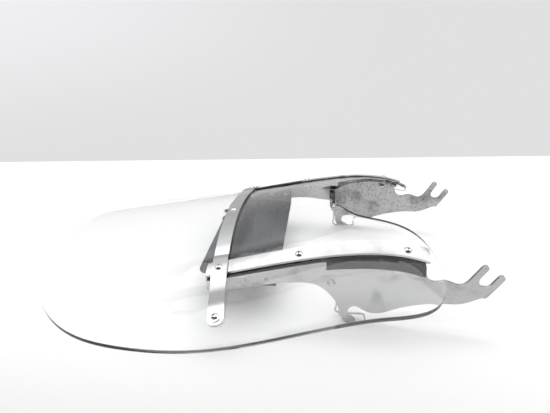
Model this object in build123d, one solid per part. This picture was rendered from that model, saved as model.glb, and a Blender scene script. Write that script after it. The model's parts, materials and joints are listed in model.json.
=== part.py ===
from build123d import *
from scipy.interpolate import CubicSpline
import math
import os

# Detachable touring windshield, lying on its hooks and upper shoulders, outer face up.
# +X runs from the top edge of the screen to the forks, +Y is the rider's left, +Z is up
# out of the surface it lies on. Millimetres. The origin is under the middle of its box.

# ---- screen -------------------------------------------------------------------------
SCREEN_THICKNESS = 4.8
RIB_Y = 140.0
SURFACE_X = (-344.0, 274.0)
SURFACE_HALF_SPAN = 256.0
SURFACE_DROP = 400.0
GRID_X = 30
GRID_Y = 16
BAND_STEPS = 6
# Stations along X: position, height of the outer face at RIB_Y, crosswise radius there.
STATIONS = [
    (-345.0, 8.0, 534.7),
    (-180.0, 36.77, 515.2),
    (-40.0, 62.5, 455.0),
    (70.0, 86.5, 402.0),
    (150.0, 98.0, 358.0),
    (205.0, 96.0, 343.0),
    (236.0, 87.5, 338.0),
    (275.0, 66.0, 333.0),
]
# Half of the screen's outline seen from above, from the top edge to the headlamp arch.
SCREEN_SHOULDER = [(-320.5, 0), (-319, 90), (-285, 160), (-216, 211), (-130, 231), (-50, 236)]
SCREEN_LOBE = [(60, 226.5), (165, 208), (206, 199.5), (237, 181), (249, 155), (243, 124), (220, 94)]
SCREEN_ARCH = [(156, 70), (134, 55), (116, 34), (107, 0)]

# ---- layers, as heights above the screen's outer face ---------------------------------
TAPE = 1.0
TAPE_INSET = 0.6
BRACE_THICKNESS = 2.5
GASKET = 1.6
FLANGE = 3.0
BRACE_TOP = TAPE + BRACE_THICKNESS
STRAP_RAISED = BRACE_TOP + BRACE_THICKNESS
GASKET_BOTTOM = -SCREEN_THICKNESS - GASKET
FLANGE_BOTTOM = GASKET_BOTTOM - FLANGE

# ---- outer vertical braces --------------------------------------------------------------
BRACE_START_X = -53.0
BRACE_END_X = 232.0
BRACE_END_Y = 127.5
BRACE_FLARE = 11.0
BRACE_HALF_WIDTH = 10.0
BRACE_CORNER = 2.5
BRACE_SCREW_X = (69.0, 203.5)

# ---- outer horizontal strap ---------------------------------------------------------------
STRAP_X = -42.2
STRAP_BOW_RADIUS = 1335.0
STRAP_HALF_LENGTH = 214.0
STRAP_HALF_WIDTH = 10.25
STRAP_END_RADIUS = 8.0
STRAP_END_SCREW_Y = 203.5
CROSSING_Y = 137.4
JOGGLE_HALF = 13.0
JOGGLE_RUN = 9.0
STRAP_FLAT_TO = CROSSING_Y - JOGGLE_HALF - JOGGLE_RUN
STRAP_FLAT_FROM = CROSSING_Y + JOGGLE_HALF + JOGGLE_RUN

# ---- side brackets -------------------------------------------------------------------------
PLATE_THICKNESS = 3.5
PLATE_Y = 140.0
ARM_END_X = -51.0
ARM_END_Y = 148.0
ARM_BEND_X = 95.0
PLATE_END_X = 226.0
FORK_START_X = 240.0
FLANGE_HALF_WIDTH = 10.5
GASKET_LIP_X = 104.0
GASKET_LIP_DEPTH = 9.0
NOTCH_RADIUS = 8.5
LOWER_NOTCH = (300.4, 72.5)
LOWER_NOTCH_ANGLE = 60.0
UPPER_NOTCH = (143.9, 13.0)
UPPER_NOTCH_ANGLE = -30.0
PRONG_WIDTH = 8.4
REAR_PRONG_LENGTH = 17.6
FRONT_PRONG_LENGTH = 16.8
HOOK_TIP_LENGTH = 5.5

# ---- inner cross plate -----------------------------------------------------------------------
CROSS_THICKNESS = 2.0
CROSS_X = (-70.5, 39.5)
CROSS_Z = (44.0, 40.0)
CROSS_BEND = 9.0
CROSS_ENDS_TOP = 90.0
CROSS_CLEARANCE = 1.0
CROSS_TAB_HALF_WIDTH = 120.0
CROSS_CORNER = 12.0
CROSS_NECK = 4.0
CROSS_RIVETS = ((2.0, 55.0), (28.0, 57.5))
RIVET_HEAD_RADIUS = 3.4
RIVET_HEAD_HEIGHT = 1.3
RIVET_RADIUS = 2.0
RIVET_HOLE = 2.2

# ---- screws, nuts and washers ------------------------------------------------------------------
SCREW_RADIUS = 2.5
SCREW_HOLE = 2.65
SCREEN_HOLE = 3.2
SEAT_GAP = 0.08
HEAD_RADIUS = 5.0
HEAD_HEIGHT = 3.0
SOCKET_FLATS = 3.2
SOCKET_DEPTH = 1.8
CUP_RADIUS = 6.8
CUP_HEIGHT = 1.6
WASHER_RADIUS = 7.0
WASHER_HEIGHT = 1.6
NUT_FLATS = 8.0
NUT_HEIGHT = 4.0
NUT_DOME = 3.4

# ---- latch ------------------------------------------------------------------------------------
PIVOT = (111.4, 56.0)
WIRE_RADIUS = 1.3
WIRE_Y = 131.0
EYE_RADIUS = 5.7
EYE_LEAVES_AT = 5.0
EYE_WRAP = 320.0
# The wire's bends in side view below its eye, from the leg to the bar across the hook's mouth.
WIRE_BENDS = [(120.6, 15.0), (118.4, 6.5), (125.0, 2.9), (157.6, 4.7)]
WIRE_BEND_RADII = [8.0, 3.2, 6.0, 3.0]
WIRE_BAR_REACH = 147.5
BUSH_RADIUS = 4.1
BUSH_BORE = 2.55
CLIP_SHEET = 1.5
CLIP_DEPTH = 11.5
CLIP_HALF_WIDTH = 9.5
CLIP_ABOVE = 15.0
CLIP_BELOW = 6.0
CLIP_CORNER = 7.0
PIVOT_HEAD_RADIUS = 5.2
PIVOT_HEAD_HEIGHT = 3.2
PIVOT_NUT_HEIGHT = 3.6
THREAD_SHOWING = 1.0

# ---- sizes of cutting shapes, well past everything they cut -------------------------------------
BIG = 700.0
FLOOR = -70.0
DRILL_PAST = 5.0
DRILL_LENGTH = 60.0


RIB_HEIGHT = CubicSpline([x for x, _, _ in STATIONS], [height for _, height, _ in STATIONS])
CROSS_RADIUS = CubicSpline([x for x, _, _ in STATIONS], [radius for _, _, radius in STATIONS])


def screen_height(x, y):
    """Height of the screen's outer face: a crosswise arc that meets the rib line at RIB_Y."""
    radius = float(CROSS_RADIUS(x))
    fall = math.sqrt(radius**2 - y**2) - math.sqrt(radius**2 - RIB_Y**2)
    return float(RIB_HEIGHT(x)) + fall


def screen_normal(x, y):
    """Outward normal of the screen's outer face."""
    step = 0.05
    along_x = (screen_height(x + step, y) - screen_height(x - step, y)) / (2 * step)
    along_y = (screen_height(x, y + step) - screen_height(x, y - step)) / (2 * step)
    return Vector(-along_x, -along_y, 1).normalized()


def surface_point(x, y, height):
    """A point this far above the screen's outer face, measured square to it."""
    return Vector(x, y, screen_height(x, y)) + screen_normal(x, y) * height


BLOCKS = {}


def block(height):
    """Everything under the surface that lies this far above the screen's outer face."""
    key = round(height, 3)
    if key not in BLOCKS:
        rows = []
        for i in range(GRID_X + 1):
            x = SURFACE_X[0] + (SURFACE_X[1] - SURFACE_X[0]) * i / GRID_X
            ys = [SURFACE_HALF_SPAN * (2 * j / GRID_Y - 1) for j in range(GRID_Y + 1)]
            rows.append([surface_point(x, y, height) for y in ys])
        face = Face.make_surface_from_array_of_points(rows, tol=0.005, min_deg=3, max_deg=5)
        BLOCKS[key] = extrude(face, amount=SURFACE_DROP, dir=(0, 0, -1))
    return BLOCKS[key]


def column(outline):
    """An outline in plan, as a prism through the whole height."""
    return extrude(Pos(0, 0, FLOOR) * outline, amount=BIG, dir=(0, 0, 1))


def layer(outline, low, high):
    """A sheet over an outline in plan, between two heights above the screen's outer face."""
    return (column(outline) & block(high)) - block(low)


def surface_location(x, y, height):
    """A place on the surface at this height, with its Z axis along the outward normal."""
    normal = screen_normal(x, y)
    origin = surface_point(x, y, height)
    return Plane(origin=origin, x_dir=(normal.Z, 0, -normal.X), z_dir=normal).location


def both_sides(shape):
    """A left-hand shape and its mirror image on the right."""
    return [shape, mirror(shape, about=Plane.XZ)]


def brace_y(x):
    """Centre line of the left vertical brace."""
    part_way = (BRACE_END_X - x) / (BRACE_END_X - BRACE_START_X)
    return BRACE_END_Y + BRACE_FLARE * part_way**2


def strap_x(y):
    """Centre line of the horizontal strap."""
    return STRAP_X + y**2 / (2 * STRAP_BOW_RADIUS)


def plate_y(x):
    """Outer face of the left side bracket."""
    if x > ARM_BEND_X:
        return PLATE_Y
    part_way = (ARM_BEND_X - x) / (ARM_BEND_X - ARM_END_X)
    return PLATE_Y + (ARM_END_Y - PLATE_Y) * part_way


def spaced(start, end):
    """Even stations from start to end."""
    return [start + (end - start) * i / BAND_STEPS for i in range(BAND_STEPS + 1)]


def brace_band(start_x, end_x, half_width, corner):
    """The left vertical brace's outline in plan, or one of the strips that follow it."""
    stations = spaced(start_x, end_x)
    inner = Spline([(x, brace_y(x) - half_width) for x in stations])
    outer = Spline([(x, brace_y(x) + half_width) for x in stations])
    ends = [Line(inner @ 0, outer @ 0), Line(inner @ 1, outer @ 1)]
    face = make_face([inner, outer, *ends])
    return fillet(face.vertices(), corner)


def strap_band(start_y, end_y, half_width):
    """A stretch of the horizontal strap's outline in plan."""
    stations = spaced(start_y, end_y)
    upper = Spline([(strap_x(y) - half_width, y) for y in stations])
    lower = Spline([(strap_x(y) + half_width, y) for y in stations])
    ends = [Line(upper @ 0, lower @ 0), Line(upper @ 1, lower @ 1)]
    return make_face([upper, lower, *ends])


def strap_end_band(end_y, half_width):
    """The strap's round-cornered end, outboard of the joggle."""
    outline = strap_band(STRAP_FLAT_FROM, end_y, half_width)
    return fillet(outline.vertices().sort_by(Axis.Y)[-2:], STRAP_END_RADIUS)


# ---- where the screws go -------------------------------------------------------------------
CROSSING = (strap_x(CROSSING_Y), CROSSING_Y)
STRAP_END = (strap_x(STRAP_END_SCREW_Y), STRAP_END_SCREW_Y)
STRAP_CENTRE = (STRAP_X, 0.0)
BRACE_SCREWS = [(x, brace_y(x)) for x in BRACE_SCREW_X]


def drill(shape, places, radius):
    """Screw holes square to the surface."""
    for x, y in places:
        shape -= surface_location(x, y, 0) * Cylinder(radius, DRILL_LENGTH)
    return shape


def mirrored(places):
    """Places on the left with their opposite numbers on the right."""
    return [*places, *[(x, -y) for x, y in places]]


# ---- screen ---------------------------------------------------------------------------------
def screen():
    half = [*SCREEN_SHOULDER, *SCREEN_LOBE, *SCREEN_ARCH]
    edge = Spline(half, tangents=[(0, 1), (0, -1)])
    outline = make_face([edge, mirror(edge, about=Plane.XZ)])
    sheet = layer(outline, -SCREEN_THICKNESS, 0)
    places = [STRAP_CENTRE, *mirrored([CROSSING, STRAP_END, *BRACE_SCREWS])]
    return drill(sheet, places, SCREEN_HOLE)


# ---- outer trim: strap, braces and the tapes under them ----------------------------------------
def vertical_brace():
    outline = brace_band(BRACE_START_X, BRACE_END_X, BRACE_HALF_WIDTH, BRACE_CORNER)
    brace = layer(outline, TAPE, BRACE_TOP)
    return drill(brace, [CROSSING, *BRACE_SCREWS], SCREW_HOLE)


def outer_tape():
    start_x = BRACE_START_X + TAPE_INSET
    end_x = BRACE_END_X - TAPE_INSET
    outline = brace_band(start_x, end_x, BRACE_HALF_WIDTH - TAPE_INSET, BRACE_CORNER)
    return drill(layer(outline, 0, TAPE), [CROSSING, *BRACE_SCREWS], SCREW_HOLE)


def end_face(shape, at_y):
    """The flat face of a strap stretch that lies in the plane Y = at_y."""
    return min(shape.faces(), key=lambda face: abs(face.center().Y - at_y) + 1 - abs(face.normal_at().Y))


def ramp(low_face, high_face):
    """The straight-sided joggle between two end faces."""
    return Solid.make_loft([low_face.outer_wire(), high_face.outer_wire()], True)


def horizontal_brace():
    """One strap, raised by joggles where it crosses over the two vertical braces."""
    raised_from = CROSSING_Y - JOGGLE_HALF
    raised_to = CROSSING_Y + JOGGLE_HALF
    middle = layer(strap_band(-STRAP_FLAT_TO, STRAP_FLAT_TO, STRAP_HALF_WIDTH), TAPE, BRACE_TOP)
    raised = layer(strap_band(raised_from, raised_to, STRAP_HALF_WIDTH), BRACE_TOP, STRAP_RAISED)
    end = layer(strap_end_band(STRAP_HALF_LENGTH, STRAP_HALF_WIDTH), TAPE, BRACE_TOP)
    inner_ramp = ramp(end_face(middle, STRAP_FLAT_TO), end_face(raised, raised_from))
    outer_ramp = ramp(end_face(raised, raised_to), end_face(end, STRAP_FLAT_FROM))
    side = raised + inner_ramp + outer_ramp + end
    strap = middle + side + mirror(side, about=Plane.XZ)
    return drill(strap, [STRAP_CENTRE, *mirrored([CROSSING, STRAP_END])], SCREW_HOLE)


def horizontal_tape():
    """Three strips under the strap: between the braces and under each end."""
    width = STRAP_HALF_WIDTH - TAPE_INSET
    middle = layer(strap_band(-STRAP_FLAT_TO, STRAP_FLAT_TO, width), 0, TAPE)
    end = layer(strap_end_band(STRAP_HALF_LENGTH - TAPE_INSET, width), 0, TAPE)
    strips = [middle, *both_sides(end)]
    places = [STRAP_CENTRE, *mirrored([STRAP_END])]
    return [drill(strip, places, SCREW_HOLE) for strip in strips]


# ---- side brackets ---------------------------------------------------------------------------
def along(centre, angle, forward, sideways):
    """A point in side view, measured from a notch along its opening and to its left."""
    turn = math.radians(angle)
    x = centre[0] + forward * math.cos(turn) - sideways * math.sin(turn)
    z = centre[1] + forward * math.sin(turn) + sideways * math.cos(turn)
    return (x, z)


def bracket_profile():
    """Side view of a bracket: arm, leg with its hook, lobe and two-pronged fork."""
    fork = (LOWER_NOTCH, LOWER_NOTCH_ANGLE)
    hook = (UPPER_NOTCH, UPPER_NOTCH_ANGLE)
    outer = NOTCH_RADIUS + PRONG_WIDTH
    tip = PRONG_WIDTH / 2
    rear_straight = REAR_PRONG_LENGTH - tip
    front_straight = FRONT_PRONG_LENGTH - tip
    hook_tip = along(*hook, HOOK_TIP_LENGTH, -NOTCH_RADIUS)
    edges = [
        Line((PLATE_END_X, BIG), (ARM_END_X, BIG)),
        Line((ARM_END_X, BIG), (ARM_END_X, 37)),
        Spline([(ARM_END_X, 37), (-6, 42), (30, 49.5), (66, 54), (90, 52), (104, 44)]),
        Spline([(104, 44), (113, 34.5), (120, 24), (123.5, 12)]),
        Spline([(123.5, 12), (126.5, 4), (134, 0)], tangents=[(0, -1), (1, 0)]),
        Line((134, 0), (142, 0)),
        Spline([(142, 0), (145.6, 1.2), hook_tip], tangents=[(1, 0), (-0.866, 0.5)]),
        Line(hook_tip, along(*hook, 0, -NOTCH_RADIUS)),
        ThreePointArc(
            along(*hook, 0, -NOTCH_RADIUS), along(*hook, -NOTCH_RADIUS, 0), along(*hook, 0, NOTCH_RADIUS)
        ),
        Line(along(*hook, 0, NOTCH_RADIUS), along(*hook, 7, NOTCH_RADIUS)),
        Spline(
            [along(*hook, 7, NOTCH_RADIUS), (168, 13.2), (199, 23), (222, 30), (256, 35), (282, 38.5),
             (301, 47.5), along(*fork, -7, -outer)],
            tangents=[(0.866, -0.5), (0.5, 0.866)],
        ),
        Line(along(*fork, -7, -outer), along(*fork, front_straight, -outer)),
        ThreePointArc(
            along(*fork, front_straight, -outer),
            along(*fork, FRONT_PRONG_LENGTH, -NOTCH_RADIUS - tip),
            along(*fork, front_straight, -NOTCH_RADIUS),
        ),
        Line(along(*fork, front_straight, -NOTCH_RADIUS), along(*fork, 0, -NOTCH_RADIUS)),
        ThreePointArc(
            along(*fork, 0, -NOTCH_RADIUS), along(*fork, -NOTCH_RADIUS, 0), along(*fork, 0, NOTCH_RADIUS)
        ),
        Line(along(*fork, 0, NOTCH_RADIUS), along(*fork, rear_straight, NOTCH_RADIUS)),
        ThreePointArc(
            along(*fork, rear_straight, NOTCH_RADIUS),
            along(*fork, REAR_PRONG_LENGTH, NOTCH_RADIUS + tip),
            along(*fork, rear_straight, outer),
        ),
        Line(along(*fork, rear_straight, outer), along(*fork, -8, outer)),
        Spline(
            [along(*fork, -8, outer), (270, 64.6), (255, 68.8), (240, 66.2), (230, 71), (225.5, 82),
             (PLATE_END_X, 92)],
            tangents=[(-0.5, -0.866), (0.1, 1)],
        ),
        Line((PLATE_END_X, 92), (PLATE_END_X, BIG)),
    ]
    return Plane.XZ * make_face(edges)


def flange_outline(start_x, end_x):
    """Plan of the flange, from inside the brace's edge to the plate's outer face."""
    stations = spaced(start_x, end_x)
    inner = Spline([(x, brace_y(x) - FLANGE_HALF_WIDTH) for x in stations])
    corners = [(start_x, plate_y(start_x)), (ARM_BEND_X, PLATE_Y), (end_x, PLATE_Y)]
    outer = Polyline(inner @ 0, *corners, inner @ 1)
    return make_face([inner, *outer.edges()])


def side_bracket():
    plan_outer = [(ARM_END_X - 5, plate_y(ARM_END_X - 5)), (ARM_BEND_X, PLATE_Y), (BIG, PLATE_Y)]
    plan_inner = [(x, y - PLATE_THICKNESS) for x, y in reversed(plan_outer)]
    wall = column(make_face(Polyline(*plan_outer, *plan_inner, close=True).edges()))
    profile = extrude(bracket_profile(), amount=BIG, both=True)
    beyond_screen = Pos(FORK_START_X + BIG / 2, 0, 0) * Box(BIG, BIG, BIG)
    plate = wall & profile
    flange = layer(flange_outline(ARM_END_X, PLATE_END_X), FLANGE_BOTTOM, GASKET_BOTTOM)
    bracket = (plate & block(GASKET_BOTTOM)) + flange + (plate & beyond_screen)
    bracket = drill(bracket, [CROSSING, *BRACE_SCREWS], SCREW_HOLE)
    bracket -= hole_across(*PIVOT, PLATE_Y, SCREW_HOLE, PLATE_THICKNESS)
    for x, z in CROSS_RIVETS:
        bracket -= hole_across(x, z, plate_y(x), RIVET_HOLE, PLATE_THICKNESS)
    return bracket


def inner_gasket():
    """Rubber strip between screen and flange, with a lip turned down over the plate's top edge."""
    outline = flange_outline(ARM_END_X, PLATE_END_X)
    strip = layer(outline, GASKET_BOTTOM, -SCREEN_THICKNESS)
    lip_outline = Pos((GASKET_LIP_X + PLATE_END_X) / 2, PLATE_Y + GASKET / 2) * Rectangle(
        PLATE_END_X - GASKET_LIP_X, GASKET
    )
    lip = layer(lip_outline, GASKET_BOTTOM - GASKET_LIP_DEPTH, -SCREEN_THICKNESS)
    return drill(strip + lip, [CROSSING, *BRACE_SCREWS], SCREW_HOLE)


def across(x, z, from_y, radius, length):
    """A cylinder along -Y that starts at from_y."""
    return Pos(x, from_y - length / 2, z) * Rot(90, 0, 0) * Cylinder(radius, length)


def hole_across(x, z, from_y, radius, depth):
    """A drilled hole along -Y that runs past both faces."""
    return across(x, z, from_y + DRILL_PAST, radius, depth + 2 * DRILL_PAST)


def dome(radius, height):
    """A ball's cap standing on Z = 0."""
    ball = (radius**2 + height**2) / (2 * height)
    above = Pos(0, 0, height / 2) * Cylinder(ball, height)
    return Pos(0, 0, height - ball) * Sphere(ball) & above


# ---- inner cross plate ----------------------------------------------------------------------
def cross_section(x, level):
    """The plate's section at one X: flat between the arms, turned up at both ends."""
    half = plate_y(x) - PLATE_THICKNESS
    top = CROSS_ENDS_TOP
    inside = half - CROSS_THICKNESS
    bend = CROSS_BEND - CROSS_THICKNESS
    outer = FilletPolyline(
        (x, -half, top), (x, -half, level), (x, half, level), (x, half, top), radius=CROSS_BEND
    )
    inner = FilletPolyline(
        (x, inside, top),
        (x, inside, level + CROSS_THICKNESS),
        (x, -inside, level + CROSS_THICKNESS),
        (x, -inside, top),
        radius=bend,
    )
    return Wire([*outer.edges(), Line(outer @ 1, inner @ 0), *inner.edges(), Line(inner @ 1, outer @ 0)])


def cross_outline():
    """Plan of the plate: full width between the arms, and a narrower tab past their ends."""
    wide = Pos((ARM_END_X + CROSS_X[1]) / 2, 0) * Rectangle(CROSS_X[1] - ARM_END_X, 2 * ARM_END_Y)
    tab_length = CROSS_X[1] - CROSS_X[0]
    tab = Pos(sum(CROSS_X) / 2, 0) * Rectangle(tab_length, 2 * CROSS_TAB_HALF_WIDTH)
    tab = fillet(tab.vertices().sort_by(Axis.X)[:2], CROSS_CORNER)
    outline = wide + tab
    at_arms = [v for v in outline.vertices() if abs(v.X - ARM_END_X) < 1]
    necks = [v for v in at_arms if abs(v.Y) < CROSS_TAB_HALF_WIDTH + 1]
    return fillet(necks, CROSS_NECK)


def inner_cross_plate():
    slope = (CROSS_Z[1] - CROSS_Z[0]) / (CROSS_X[1] - CROSS_X[0])
    sections = [cross_section(x, CROSS_Z[0] + slope * (x - CROSS_X[0])) for x in CROSS_X]
    plate = Solid.make_loft(sections, True)
    plate = plate & column(cross_outline()) & block(FLANGE_BOTTOM - CROSS_CLEARANCE)
    for x, z in CROSS_RIVETS:
        for hole in both_sides(hole_across(x, z, plate_y(x), RIVET_HOLE, PLATE_THICKNESS)):
            plate -= hole
    return plate


def cross_plate_rivet(x, z):
    """Rivet along Y through the arm and the cross plate's turned-up end, domed both sides."""
    outside = plate_y(x)
    inside = outside - PLATE_THICKNESS - CROSS_THICKNESS
    tilt = math.degrees(math.atan2(ARM_END_Y - PLATE_Y, ARM_BEND_X - ARM_END_X))
    head = Pos(0, 0, (outside - inside) / 2) * dome(RIVET_HEAD_RADIUS, RIVET_HEAD_HEIGHT)
    body = Cylinder(RIVET_RADIUS, outside - inside) + head + mirror(head, about=Plane.XY)
    return Pos(x, (outside + inside) / 2, z) * Rot(0, 0, -tilt) * Rot(90, 0, 0) * body


# ---- screws, nuts, washers -------------------------------------------------------------------
def hexagon(flats):
    return RegularPolygon(flats / math.sqrt(3), 6)


def button_screw(length):
    """Button-head screw with a hexagon socket; its seat is at Z = 0 and its shank points down."""
    socket = Pos(0, 0, HEAD_HEIGHT - SOCKET_DEPTH) * hexagon(SOCKET_FLATS)
    head = dome(HEAD_RADIUS, HEAD_HEIGHT) - extrude(socket, amount=SOCKET_DEPTH)
    return head + Pos(0, 0, -length / 2) * Cylinder(SCREW_RADIUS, length)


def acorn_nut():
    """Domed nut under a joint: its seat is at Z = 0 and its dome points down."""
    nut = extrude(hexagon(NUT_FLATS), amount=-NUT_HEIGHT)
    nut += Pos(0, 0, -NUT_HEIGHT) * (Sphere(NUT_DOME) & Pos(0, 0, -NUT_DOME / 2) * Box(9, 9, NUT_DOME))
    return nut - Pos(0, 0, -NUT_HEIGHT / 2) * Cylinder(SCREW_RADIUS, NUT_HEIGHT)


def washer(radius, height, bore):
    return Cylinder(radius, height) - Cylinder(bore, height)


def screws(places, seat, nut_seat):
    """Screws with heads at one height and threads that end inside the nut's flats."""
    shank = seat - nut_seat + NUT_HEIGHT
    return [surface_location(x, y, 0) * Pos(0, 0, seat) * button_screw(shank) for x, y in places]


def nuts(places, seat):
    below = seat - SEAT_GAP
    return [surface_location(x, y, 0) * Pos(0, 0, below) * acorn_nut() for x, y in places]


def washers(places, base, radius, height, bore):
    made = washer(radius, height, bore)
    middle = base + height / 2
    return [surface_location(x, y, 0) * Pos(0, 0, middle) * made for x, y in places]


# ---- latch: wire spring, clip, bush, pivot bolt and nut -----------------------------------------
def latch_spring():
    """Sprung wire: an eye round the bush, a leg, a finger bend and a bar across the hook's mouth."""
    turn = math.radians(EYE_LEAVES_AT)
    leaves = (
        PIVOT[0] + EYE_RADIUS * math.cos(turn), WIRE_Y, PIVOT[1] + EYE_RADIUS * math.sin(turn)
    )
    eye_plane = Plane(origin=(PIVOT[0], WIRE_Y, PIVOT[1]), x_dir=(1, 0, 0), z_dir=(0, -1, 0))
    eye = eye_plane * CenterArc((0, 0), EYE_RADIUS, EYE_LEAVES_AT, EYE_WRAP)
    bends = [(x, WIRE_Y, z) for x, z in WIRE_BENDS]
    bar_end = (WIRE_BENDS[-1][0], WIRE_BAR_REACH, WIRE_BENDS[-1][1])
    leg = FilletPolyline(leaves, *bends, bar_end, radius=WIRE_BEND_RADII)
    path = Wire([*eye.edges(), *leg.edges()])
    end = leg @ 1
    profile = Plane(origin=end, z_dir=leg % 1) * Circle(WIRE_RADIUS)
    return sweep(profile, path=path)


def latch_clip():
    """Folded clip on the plate's inner face that holds the pivot, open below for the wire."""
    inner = PLATE_Y - PLATE_THICKNESS
    low = PIVOT[1] - CLIP_BELOW
    height = CLIP_ABOVE + CLIP_BELOW
    outline = Pos(PIVOT[0], low + height / 2) * Rectangle(2 * CLIP_HALF_WIDTH, height)
    outline = fillet(outline.vertices().sort_by(Axis.Y)[-2:], CLIP_CORNER)
    hollow = offset(outline, amount=-CLIP_SHEET)
    hollow += Pos(PIVOT[0], low) * Rectangle(2 * (CLIP_HALF_WIDTH - CLIP_SHEET), 2 * CLIP_CORNER)
    plane = Plane(origin=(0, inner, 0), x_dir=(1, 0, 0), z_dir=(0, -1, 0))
    clip = extrude(plane * outline, amount=CLIP_DEPTH)
    clip -= extrude(plane.offset(CLIP_SHEET) * hollow, amount=CLIP_DEPTH - 2 * CLIP_SHEET)
    return clip - hole_across(*PIVOT, inner, SCREW_HOLE, CLIP_DEPTH)


def latch_bush():
    inner = PLATE_Y - PLATE_THICKNESS - CLIP_SHEET
    length = CLIP_DEPTH - 2 * CLIP_SHEET
    bush = across(*PIVOT, inner, BUSH_RADIUS, length)
    return bush - across(*PIVOT, inner, BUSH_BORE, length)


def latch_pivot_bolt():
    """Domed bolt from outside, through plate, clip and bush, into the nut."""
    length = PLATE_THICKNESS + CLIP_DEPTH + PIVOT_NUT_HEIGHT + THREAD_SHOWING
    shank = Pos(0, 0, -length / 2) * Cylinder(SCREW_RADIUS, length)
    bolt = dome(PIVOT_HEAD_RADIUS, PIVOT_HEAD_HEIGHT) + shank
    return Pos(PIVOT[0], PLATE_Y, PIVOT[1]) * Rot(-90, 0, 0) * bolt


def latch_pivot_nut():
    seat = PLATE_Y - PLATE_THICKNESS - CLIP_DEPTH
    nut = extrude(hexagon(NUT_FLATS), amount=PIVOT_NUT_HEIGHT)
    nut -= Pos(0, 0, PIVOT_NUT_HEIGHT / 2) * Cylinder(SCREW_RADIUS, PIVOT_NUT_HEIGHT)
    return Pos(PIVOT[0], seat, PIVOT[1]) * Rot(90, 0, 0) * nut


def write(name, shapes):
    """One STEP file per sub-part; several equal pieces stay separate solids in it."""
    solids = []
    for shape in shapes:
        solids += shape.solids()
    target = solids[0] if len(solids) == 1 else Compound(children=solids)
    target.label = name
    export_step(target, f"parts/{name}.step")


os.makedirs("parts", exist_ok=True)

write("screen", [screen()])
write("horizontal_brace", [horizontal_brace()])
write("horizontal_tape", horizontal_tape())
write("inner_cross_plate", [inner_cross_plate()])

SIDED = {
    "vertical_brace": vertical_brace,
    "outer_tape": outer_tape,
    "inner_gasket": inner_gasket,
    "side_bracket": side_bracket,
    "latch_spring": latch_spring,
    "latch_clip": latch_clip,
    "latch_bush": latch_bush,
    "latch_pivot_bolt": latch_pivot_bolt,
    "latch_pivot_nut": latch_pivot_nut,
}
for name, make in SIDED.items():
    left, right = both_sides(make())
    write(f"{name}_left", [left])
    write(f"{name}_right", [right])

rivets = []
for rivet_x, rivet_z in CROSS_RIVETS:
    rivets += both_sides(cross_plate_rivet(rivet_x, rivet_z))
write("cross_plate_rivets", rivets)

cup_seat = BRACE_TOP + CUP_HEIGHT
washer_seat = -SCREEN_THICKNESS - WASHER_HEIGHT
ENDS = mirrored([STRAP_END])
CROSSINGS = mirrored([CROSSING])
SIDES = mirrored(BRACE_SCREWS)
write("strap_end_screws", screws(ENDS, cup_seat, washer_seat))
write("strap_end_cups", washers(ENDS, BRACE_TOP, CUP_RADIUS, CUP_HEIGHT, SCREW_HOLE))
write("strap_centre_screw", screws([STRAP_CENTRE], BRACE_TOP, washer_seat))
write("strap_nuts", nuts([STRAP_CENTRE, *ENDS], washer_seat))
washer_places = [STRAP_CENTRE, *ENDS]
washer_base = washer_seat - SEAT_GAP
write("strap_washers", washers(washer_places, washer_base, WASHER_RADIUS, WASHER_HEIGHT, SCREW_HOLE))
write("crossing_screws", screws(CROSSINGS, STRAP_RAISED, FLANGE_BOTTOM))
write("crossing_nuts", nuts(CROSSINGS, FLANGE_BOTTOM))
write("brace_screws", screws(SIDES, BRACE_TOP, FLANGE_BOTTOM))
write("brace_nuts", nuts(SIDES, FLANGE_BOTTOM))
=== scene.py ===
"""Looks of a detachable motorcycle windshield: a clear screen on chrome straps and worn brackets.

Everything is in metres in the CAD frame. +X runs from the screen's top edge to the forks, +Y is the
rider's left and the far side for the camera, +Z is up out of the table that it lies on.
"""

import json
import math

import bpy
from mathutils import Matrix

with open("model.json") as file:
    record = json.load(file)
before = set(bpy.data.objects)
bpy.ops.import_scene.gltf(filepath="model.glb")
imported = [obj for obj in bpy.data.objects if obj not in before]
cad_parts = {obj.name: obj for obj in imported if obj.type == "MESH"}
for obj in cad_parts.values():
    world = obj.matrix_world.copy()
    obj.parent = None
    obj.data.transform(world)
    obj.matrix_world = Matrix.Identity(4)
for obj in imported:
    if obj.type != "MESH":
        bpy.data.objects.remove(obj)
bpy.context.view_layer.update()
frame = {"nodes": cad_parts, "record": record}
NODES = frame["nodes"]

# ---- camera ------------------------------------------------------------------------------
CAMERA_PLACE = (0.0894, -0.60935, 0.38001)
# Degrees below the horizon, and degrees turned to the left of +Y.
CAMERA_ELEVATION = 24.846
CAMERA_AZIMUTH = 6.206
SENSOR_WIDTH = 36.0
LENS = 28.28

# ---- table and studio light ------------------------------------------------------------------
TABLE_FAR_LEFT = (-3.6, 0.0)
TABLE_FAR_RIGHT = (3.4, 1.01)
TABLE_NEAR_Y = -3.0
TABLE_WHITE = 0.90
# Painted shade: the table's colour darkens towards the camera, between these two distances along Y,
# in place of light falling off.
PAINTED_SHADE_Y = (-0.50, -0.12)
PAINTED_SHADE_TONE = 0.72
# The wall as seen directly: its usual tone and the tone of a painted patch of light at its upper
# left.
WALL_GREY = 0.75
WALL_PAINTED_LIGHT = 0.88
# Levels of the light that matt surfaces get from all round.
ROOM_LIGHT = 0.82
# What glossy surfaces reflect: a turn in degrees, from the far horizon over the top to the horizon
# behind the camera, and the level there.
ROOM = [
    (0, 0.62), (24, 0.66), (38, 0.85), (47, 1.2), (50, 1.9), (54, 1.9), (56, 0.9), (60, 0.9),
    (63, 1.75), (74, 1.6), (77, 0.7), (84, 0.7), (87, 3.6), (108, 3.6), (114, 0.3), (176, 0.05),
]
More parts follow.
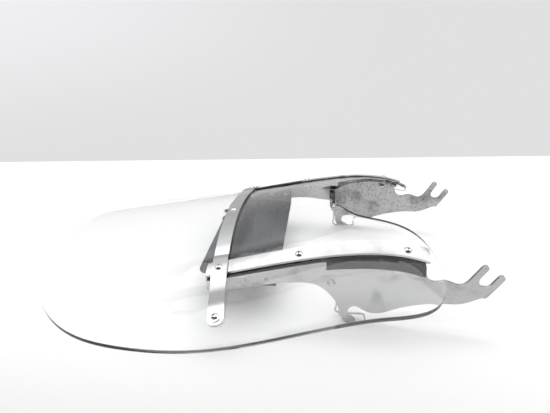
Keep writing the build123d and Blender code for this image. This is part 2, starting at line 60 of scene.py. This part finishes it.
# Overhead soft panels: name, middle, size along X and Y, and radiance.
PANELS = [
    ("panel_far", (0.10, 0.85, 2.0), (3.2, 0.60), 2.4),
    ("panel_near", (0.10, 0.16, 2.0), (3.2, 0.26), 2.4),
]
HALF_TURN = 180
PANEL_TINT = (1.0, 0.995, 0.985)


# ---- edges -----------------------------------------------------------------------------------
RIM_ROUNDING = 0.0020
RIM_SEGMENTS = 4
PLATE_ROUNDING = 0.0004
PLATE_SEGMENTS = 2
SHARP_ANGLE = 40
JOIN_DISTANCE = 1e-6


# ---- shader building blocks ------------------------------------------------------------------
def add(tree, kind, inputs=None, **settings):
    """A node with its settings and its inputs, which are plain values or sockets to link."""
    made = tree.nodes.new(kind)
    for key, value in settings.items():
        setattr(made, key, value)
    for key, value in (inputs or {}).items():
        if isinstance(value, bpy.types.NodeSocket):
            tree.links.new(value, made.inputs[key])
        else:
            made.inputs[key].default_value = value
    return made


def principled_material(name, **inputs):
    """A Principled material; keys are socket names with underscores for spaces."""
    material = bpy.data.materials.new(name)
    material.use_nodes = True
    tree = material.node_tree
    tree.nodes.clear()
    output = tree.nodes.new("ShaderNodeOutputMaterial")
    named = {key.replace("_", " "): value for key, value in inputs.items()}
    shader = add(tree, "ShaderNodeBsdfPrincipled", named)
    tree.links.new(shader.outputs[0], output.inputs["Surface"])
    return material, tree, shader


def place(tree):
    """Coordinates fixed to the object, in metres."""
    return add(tree, "ShaderNodeTexCoord").outputs["Object"]


def stretched(tree, scale):
    """Object coordinates scaled per axis, for grain that runs one way."""
    return add(tree, "ShaderNodeMapping", {"Vector": place(tree), "Scale": scale}).outputs[0]


def noise(tree, scale, detail, vector=None):
    """Cloudy noise from 0 to 1, in object coordinates unless others are given."""
    inputs = {"Scale": scale, "Detail": detail, "Vector": vector or place(tree)}
    return add(tree, "ShaderNodeTexNoise", inputs).outputs["Fac"]


def remap(tree, value, low, high, to_low, to_high):
    """A clamped, smooth change of range."""
    inputs = {0: value, 1: low, 2: high, 3: to_low, 4: to_high}
    return add(tree, "ShaderNodeMapRange", inputs, interpolation_type="SMOOTHSTEP").outputs[0]


def maths(tree, operation, first, second=0.0):
    """One sum on one or two values or sockets."""
    return add(tree, "ShaderNodeMath", {0: first, 1: second}, operation=operation).outputs[0]


# Where the Mix node keeps its two colours and their result.
COLOUR_SLOTS = (6, 7)
COLOUR_RESULT = 2


def blend_colours(tree, share, first, second):
    """A mix of two colours; each is a plain colour or a colour socket to link."""
    made = add(tree, "ShaderNodeMix", data_type="RGBA")
    tree.links.new(share, made.inputs[0])
    for slot, colour in zip(COLOUR_SLOTS, (first, second)):
        if isinstance(colour, bpy.types.NodeSocket):
            tree.links.new(colour, made.inputs[slot])
        else:
            made.inputs[slot].default_value = (*colour, 1)
    return made.outputs[COLOUR_RESULT]


def bumped(tree, shader, height, strength, distance):
    """Gives a shader a bump, at most this distance deep in metres."""
    inputs = {"Strength": strength, "Distance": distance, "Height": height}
    made = add(tree, "ShaderNodeBump", inputs)
    tree.links.new(made.outputs[0], shader.inputs["Normal"])


def link(tree, source, shader, socket):
    """Feeds one of a shader's inputs."""
    tree.links.new(source, shader.inputs[socket])


def specks(tree, scale, share, size):
    """Scattered ragged specks: 1 in a speck, 0 elsewhere. size is the largest radius in cells."""
    ragged = add(tree, "ShaderNodeTexNoise", {"Vector": place(tree), "Scale": scale * 2.5})
    reach = (0.9 / scale,) * 3
    shifts = {0: ragged.outputs["Color"], 1: reach}
    jitter = add(tree, "ShaderNodeVectorMath", shifts, operation="MULTIPLY").outputs[0]
    moved = add(tree, "ShaderNodeVectorMath", {0: place(tree), 1: jitter}).outputs[0]
    cells = add(tree, "ShaderNodeTexVoronoi", {"Vector": moved, "Scale": scale})
    chance = add(tree, "ShaderNodeSeparateColor", {"Color": cells.outputs["Color"]})
    radius = maths(tree, "MULTIPLY", chance.outputs[1], size)
    inside = maths(tree, "LESS_THAN", cells.outputs["Distance"], radius)
    chosen = maths(tree, "LESS_THAN", chance.outputs[0], share)
    return maths(tree, "MULTIPLY", inside, chosen)


def levelness(tree):
    """1 where the surface is level, 0 where it is upright."""
    normal = add(tree, "ShaderNodeNewGeometry").outputs["Normal"]
    upward = add(tree, "ShaderNodeSeparateXYZ", {0: normal}).outputs["Z"]
    return maths(tree, "ABSOLUTE", upward)


# ---- materials ---------------------------------------------------------------------------------
def clear_polycarbonate():
    """Clear sheet with fine wipe marks, and a painted dark line, standing in for shade, where its
    rounded edge is upright.
    """
    material, tree, shader = principled_material(
        "clear_polycarbonate", IOR=1.45, Transmission_Weight=1.0
    )
    # Painted shade: the upright rim gets a near-black base colour; its higher roughness there is
    # the rim's own.
    edge = remap(tree, levelness(tree), 0.02, 0.16, 1.0, 0.0)
    tint = blend_colours(tree, edge, (0.997, 1.0, 1.0), (0.03, 0.035, 0.04))
    link(tree, tint, shader, "Base Color")
    smears = noise(tree, 16.0, 5.0, stretched(tree, (1.0, 2.2, 1.0)))
    face_roughness = remap(tree, smears, 0.45, 0.75, 0.004, 0.03)
    roughness = maths(tree, "MAXIMUM", face_roughness, maths(tree, "MULTIPLY", edge, 0.12))
    link(tree, roughness, shader, "Roughness")
    scratches = noise(tree, 900.0, 2.0, stretched(tree, (0.15, 1.0, 1.0)))
    bumped(tree, shader, scratches, 0.02, 0.0002)
    # Light reaches what lies under the sheet as if it weren't bent, so that shadows stay pale.
    clear = add(tree, "ShaderNodeBsdfTransparent", {"Color": (0.985, 0.987, 0.987, 1)})
    rays = add(tree, "ShaderNodeLightPath").outputs
    unbent = maths(tree, "MAXIMUM", rays["Is Shadow Ray"], rays["Is Diffuse Ray"])
    choices = {0: unbent, 1: shader.outputs[0], 2: clear.outputs[0]}
    either = add(tree, "ShaderNodeMixShader", choices)
    output = next(n for n in tree.nodes if n.type == "OUTPUT_MATERIAL")
    tree.links.new(either.outputs[0], output.inputs["Surface"])
    return material


def polished_chrome():
    """Mirror plating with faint wiping haze and hairlines."""
    material, tree, shader = principled_material("polished_chrome", Metallic=1.0)
    haze = noise(tree, 45.0, 6.0)
    hazy = remap(tree, haze, 0.4, 0.8, 0.0, 1.0)
    tint = blend_colours(tree, hazy, (0.62, 0.62, 0.62), (0.56, 0.56, 0.555))
    link(tree, tint, shader, "Base Color")
    hairs = noise(tree, 700.0, 2.0, stretched(tree, (0.08, 1.0, 1.0)))
    worn = maths(tree, "MULTIPLY", remap(tree, hairs, 0.62, 0.72, 0.0, 1.0), 0.06)
    wiped = remap(tree, haze, 0.35, 0.8, 0.035, 0.10)
    link(tree, maths(tree, "ADD", wiped, worn), shader, "Roughness")
    bumped(tree, shader, noise(tree, 14.0, 1.0), 0.02, 0.001)
    return material


def polished_steel():
    """Dark blue-grey polished sheet, with long brushing, and darker towards one corner."""
    material, tree, shader = principled_material("polished_steel", Metallic=1.0)
    grain = noise(tree, 260.0, 4.0, stretched(tree, (1.0, 0.05, 1.0)))
    cloud = noise(tree, 22.0, 4.0)
    where = add(tree, "ShaderNodeSeparateXYZ", {0: place(tree)}).outputs
    slant = maths(tree, "SUBTRACT", where["Y"], maths(tree, "MULTIPLY", where["X"], 0.75))
    drift = maths(tree, "ADD", slant, maths(tree, "MULTIPLY", cloud, 0.012))
    # The colour gets darker towards one corner, past a slanted line with a cloudy border.
    darker_corner = remap(tree, drift, -0.036, -0.026, 1.0, 0.0)
    clouded = remap(tree, cloud, 0.3, 0.8, 0.0, 1.0)
    base = blend_colours(tree, clouded, (0.070, 0.082, 0.094), (0.095, 0.108, 0.12))
    link(tree, blend_colours(tree, darker_corner, base, (0.022, 0.026, 0.032)), shader, "Base Color")
    link(tree, remap(tree, grain, 0.3, 0.8, 0.26, 0.38), shader, "Roughness")
    bumped(tree, shader, grain, 0.06, 0.0003)
    return material


def worn_zinc_steel():
    """Satin plate: polished outside, duller inside with corrosion pits and darker stains."""
    material, tree, shader = principled_material("worn_zinc_steel", Metallic=1.0)
    aside = add(tree, "ShaderNodeSeparateXYZ", {0: place(tree)}).outputs["Y"]
    normal = add(tree, "ShaderNodeNewGeometry").outputs["Normal"]
    facing = add(tree, "ShaderNodeSeparateXYZ", {0: normal}).outputs["Y"]
    outward = maths(tree, "MULTIPLY", maths(tree, "SIGN", aside), facing)
    inside = remap(tree, outward, -0.3, 0.3, 1.0, 0.0)
    stain = remap(tree, noise(tree, 26.0, 6.0), 0.50, 0.72, 0.0, 1.0)
    fine = noise(tree, 330.0, 5.0)
    coarse_pits = specks(tree, 270.0, 0.45, 0.46)
    pits = maths(tree, "MAXIMUM", coarse_pits, specks(tree, 560.0, 0.45, 0.46))
    pitted = maths(tree, "MULTIPLY", pits, remap(tree, inside, 0.0, 1.0, 0.12, 1.0))
    clean = blend_colours(tree, fine, (0.44, 0.445, 0.445), (0.54, 0.545, 0.54))
    dull = blend_colours(tree, maths(tree, "MULTIPLY", stain, 0.75), clean, (0.24, 0.245, 0.245))
    link(tree, blend_colours(tree, pitted, dull, (0.10, 0.095, 0.09)), shader, "Base Color")
    satin = remap(tree, inside, 0.0, 1.0, 0.10, 0.30)
    stained = maths(tree, "ADD", satin, maths(tree, "MULTIPLY", stain, 0.10))
    rough = maths(tree, "ADD", stained, maths(tree, "MULTIPLY", pitted, 0.4))
    link(tree, rough, shader, "Roughness")
    waves = noise(tree, 20.0, 1.0)
    sunk = maths(tree, "SUBTRACT", waves, maths(tree, "MULTIPLY", pitted, 0.2))
    bumped(tree, shader, sunk, 0.05, 0.0012)
    return material


def plated(name, light, dark, low, high, grain_scale):
    """Plain plated or turned metal with fine mottling; low and high are its roughness."""
    material, tree, shader = principled_material(name, Metallic=1.0)
    mottle = noise(tree, grain_scale, 5.0)
    share = remap(tree, mottle, 0.35, 0.7, 0.0, 1.0)
    link(tree, blend_colours(tree, share, light, dark), shader, "Base Color")
    link(tree, remap(tree, mottle, 0.3, 0.75, low, high), shader, "Roughness")
    bumped(tree, shader, mottle, 0.08, 0.0003)
    return material


def rubbery(name, light, dark, low, high, grain_scale):
    """Rubber or foam with a fine grain and patches of grey dust; low and high are its roughness."""
    material, tree, shader = principled_material(name)
    grain = noise(tree, grain_scale, 6.0)
    dust = remap(tree, noise(tree, 60.0, 5.0), 0.5, 0.75, 0.0, 1.0)
    link(tree, blend_colours(tree, dust, dark, light), shader, "Base Color")
    link(tree, remap(tree, grain, 0.3, 0.7, low, high), shader, "Roughness")
    bumped(tree, shader, grain, 0.35, 0.0004)
    return material


def white_nylon():
    """Slightly see-through nylon, a little yellowed in places."""
    material, tree, shader = principled_material(
        "white_nylon", Subsurface_Weight=0.15, Subsurface_Scale=0.002
    )
    mottle = noise(tree, 180.0, 4.0)
    tint = blend_colours(tree, mottle, (0.84, 0.84, 0.80), (0.90, 0.90, 0.88))
    link(tree, tint, shader, "Base Color")
    link(tree, remap(tree, mottle, 0.3, 0.7, 0.35, 0.5), shader, "Roughness")
    bumped(tree, shader, mottle, 0.1, 0.0003)
    return material


# Metals with mottling: light and dark tone, lowest and highest roughness, and scale of the grain.
PLATED = {
    "spring_wire": ((0.62, 0.63, 0.64), (0.46, 0.46, 0.45), 0.14, 0.30, 500.0),
    "dark_sheet_steel": ((0.13, 0.135, 0.14), (0.06, 0.06, 0.065), 0.28, 0.5, 240.0),
    "zinc_fastener": ((0.55, 0.555, 0.55), (0.34, 0.34, 0.33), 0.22, 0.42, 240.0),
    "chrome_screw": ((0.70, 0.70, 0.71), (0.62, 0.62, 0.63), 0.04, 0.10, 120.0),
    "brass_bush": ((0.70, 0.52, 0.24), (0.50, 0.36, 0.16), 0.2, 0.4, 240.0),
}
# Rubber and foam: tone of the dust, tone under it, roughness and scale as above.
RUBBERY = {
    "black_rubber": ((0.02, 0.02, 0.022), (0.008, 0.008, 0.009), 0.45, 0.7, 900.0),
    "black_tape": ((0.03, 0.03, 0.03), (0.010, 0.010, 0.010), 0.6, 0.85, 1500.0),
}
OTHERS = [clear_polycarbonate, polished_chrome, polished_steel, worn_zinc_steel, white_nylon]


def dress():
    """Gives each CAD node the material of its slot in the record."""
    materials = {make.__name__: make() for make in OTHERS}
    materials.update({name: plated(name, *looks) for name, looks in PLATED.items()})
    materials.update({name: rubbery(name, *looks) for name, looks in RUBBERY.items()})
    for subpart in frame["record"]["subparts"]:
        mesh = NODES[subpart["node"]].data
        mesh.materials.clear()
        mesh.materials.append(materials[subpart["material_slot"]])


# ---- edges that catch the light ----------------------------------------------------------------
def soften_edges(node, width, segments):
    """Joins the CAD mesh's split vertices and rounds its sharp edges, as modifiers only."""
    piece = NODES[node]
    weld = piece.modifiers.new("join", "WELD")
    weld.merge_threshold = JOIN_DISTANCE
    bevel = piece.modifiers.new("edges", "BEVEL")
    bevel.width = width
    bevel.segments = segments
    bevel.limit_method = "ANGLE"
    bevel.angle_limit = math.radians(SHARP_ANGLE)


# ---- table, light, camera ----------------------------------------------------------------------
def table():
    """A white table top whose far edge ends against the grey wall, with painted shade towards the
    camera.
    """
    corners = [
        (TABLE_FAR_LEFT[0], TABLE_NEAR_Y, 0),
        (TABLE_FAR_RIGHT[0], TABLE_NEAR_Y, 0),
        (*TABLE_FAR_RIGHT, 0),
        (*TABLE_FAR_LEFT, 0),
    ]
    mesh = bpy.data.meshes.new("table")
    mesh.from_pydata(corners, [], [(0, 1, 2, 3)])
    top = bpy.data.objects.new("table", mesh)
    bpy.context.scene.collection.objects.link(top)
    material, tree, shader = principled_material("table_white", IOR=1.35)
    cloud = noise(tree, 3.0, 3.0)
    along = add(tree, "ShaderNodeSeparateXYZ", {0: place(tree)}).outputs["Y"]
    # Painted shade: the base colour gets darker towards the camera, in place of light falling off.
    near = remap(tree, along, *PAINTED_SHADE_Y, 1.0, 0.0)
    white = (TABLE_WHITE,) * 3
    tone = TABLE_WHITE * PAINTED_SHADE_TONE
    shaded = blend_colours(tree, near, white, (tone, tone * 0.99, tone * 0.985))
    link(tree, shaded, shader, "Base Color")
    link(tree, remap(tree, cloud, 0.3, 0.7, 0.5, 0.6), shader, "Roughness")
    mesh.materials.append(material)


def studio_world():
    """Seen directly it is a pale grey wall with a painted patch of light at its upper left;
    reflected, a bright room, dark behind the camera.
    """
    world = bpy.data.worlds.new("studio")
    bpy.context.scene.world = world
    world.use_nodes = True
    tree = world.node_tree
    tree.nodes.clear()
    towards = add(tree, "ShaderNodeTexCoord").outputs["Generated"]
    direction = add(tree, "ShaderNodeSeparateXYZ", {0: towards}).outputs
    turn = maths(tree, "ARCTAN2", direction["Z"], direction["Y"])
    share = maths(tree, "DIVIDE", turn, math.pi)
    ramp = add(tree, "ShaderNodeValToRGB", {"Fac": share})
    elements = ramp.color_ramp.elements
    while len(elements) < len(ROOM):
        elements.new(0.5)
    for element, (degrees, level) in zip(elements, ROOM):
        element.position = degrees / HALF_TURN
        element.color = (level, level, level * 1.01, 1)
    rays = add(tree, "ShaderNodeLightPath").outputs
    straight = maths(tree, "MAXIMUM", rays["Is Camera Ray"], rays["Is Transmission Ray"])
    lit = blend_colours(tree, rays["Is Diffuse Ray"], ramp.outputs["Color"], (ROOM_LIGHT,) * 3)
    # Painted light: the wall is made brighter towards its upper left.
    aside = remap(tree, direction["X"], -0.75, 0.15, 1.0, 0.0)
    high = remap(tree, direction["Z"], -0.28, 0.02, 0.0, 1.0)
    corner = maths(tree, "MULTIPLY", aside, high)
    dim = (WALL_GREY, WALL_GREY, WALL_GREY * 1.01)
    wall = blend_colours(tree, corner, dim, (WALL_PAINTED_LIGHT, WALL_PAINTED_LIGHT, WALL_PAINTED_LIGHT * 1.02))
    shown = blend_colours(tree, straight, lit, wall)
    background = add(tree, "ShaderNodeBackground", {"Color": shown})
    output = add(tree, "ShaderNodeOutputWorld")
    tree.links.new(background.outputs[0], output.inputs["Surface"])


def studio_panels():
    """Soft lights overhead, which mirrors don't show."""
    for name, middle, size, radiance in PANELS:
        light = bpy.data.lights.new(name, "AREA")
        light.shape = "RECTANGLE"
        light.size, light.size_y = size
        light.energy = radiance * math.pi * size[0] * size[1]
        light.color = PANEL_TINT
        lamp = bpy.data.objects.new(name, light)
        lamp.location = middle
        lamp.visible_glossy = False
        bpy.context.scene.collection.objects.link(lamp)


def camera():
    """A camera at the reference view."""
    data = bpy.data.cameras.new("camera")
    data.sensor_width = SENSOR_WIDTH
    data.lens = LENS
    made = bpy.data.objects.new("camera", data)
    made.location = CAMERA_PLACE
    made.rotation_euler = (math.radians(90 - CAMERA_ELEVATION), 0, math.radians(CAMERA_AZIMUTH))
    bpy.context.scene.collection.objects.link(made)
    bpy.context.scene.camera = made


dress()
soften_edges("screen", RIM_ROUNDING, RIM_SEGMENTS)
for node in ("side_bracket_left", "side_bracket_right"):
    soften_edges(node, PLATE_ROUNDING, PLATE_SEGMENTS)
table()
studio_world()
studio_panels()
camera()
bpy.context.scene.view_settings.view_transform = "Standard"
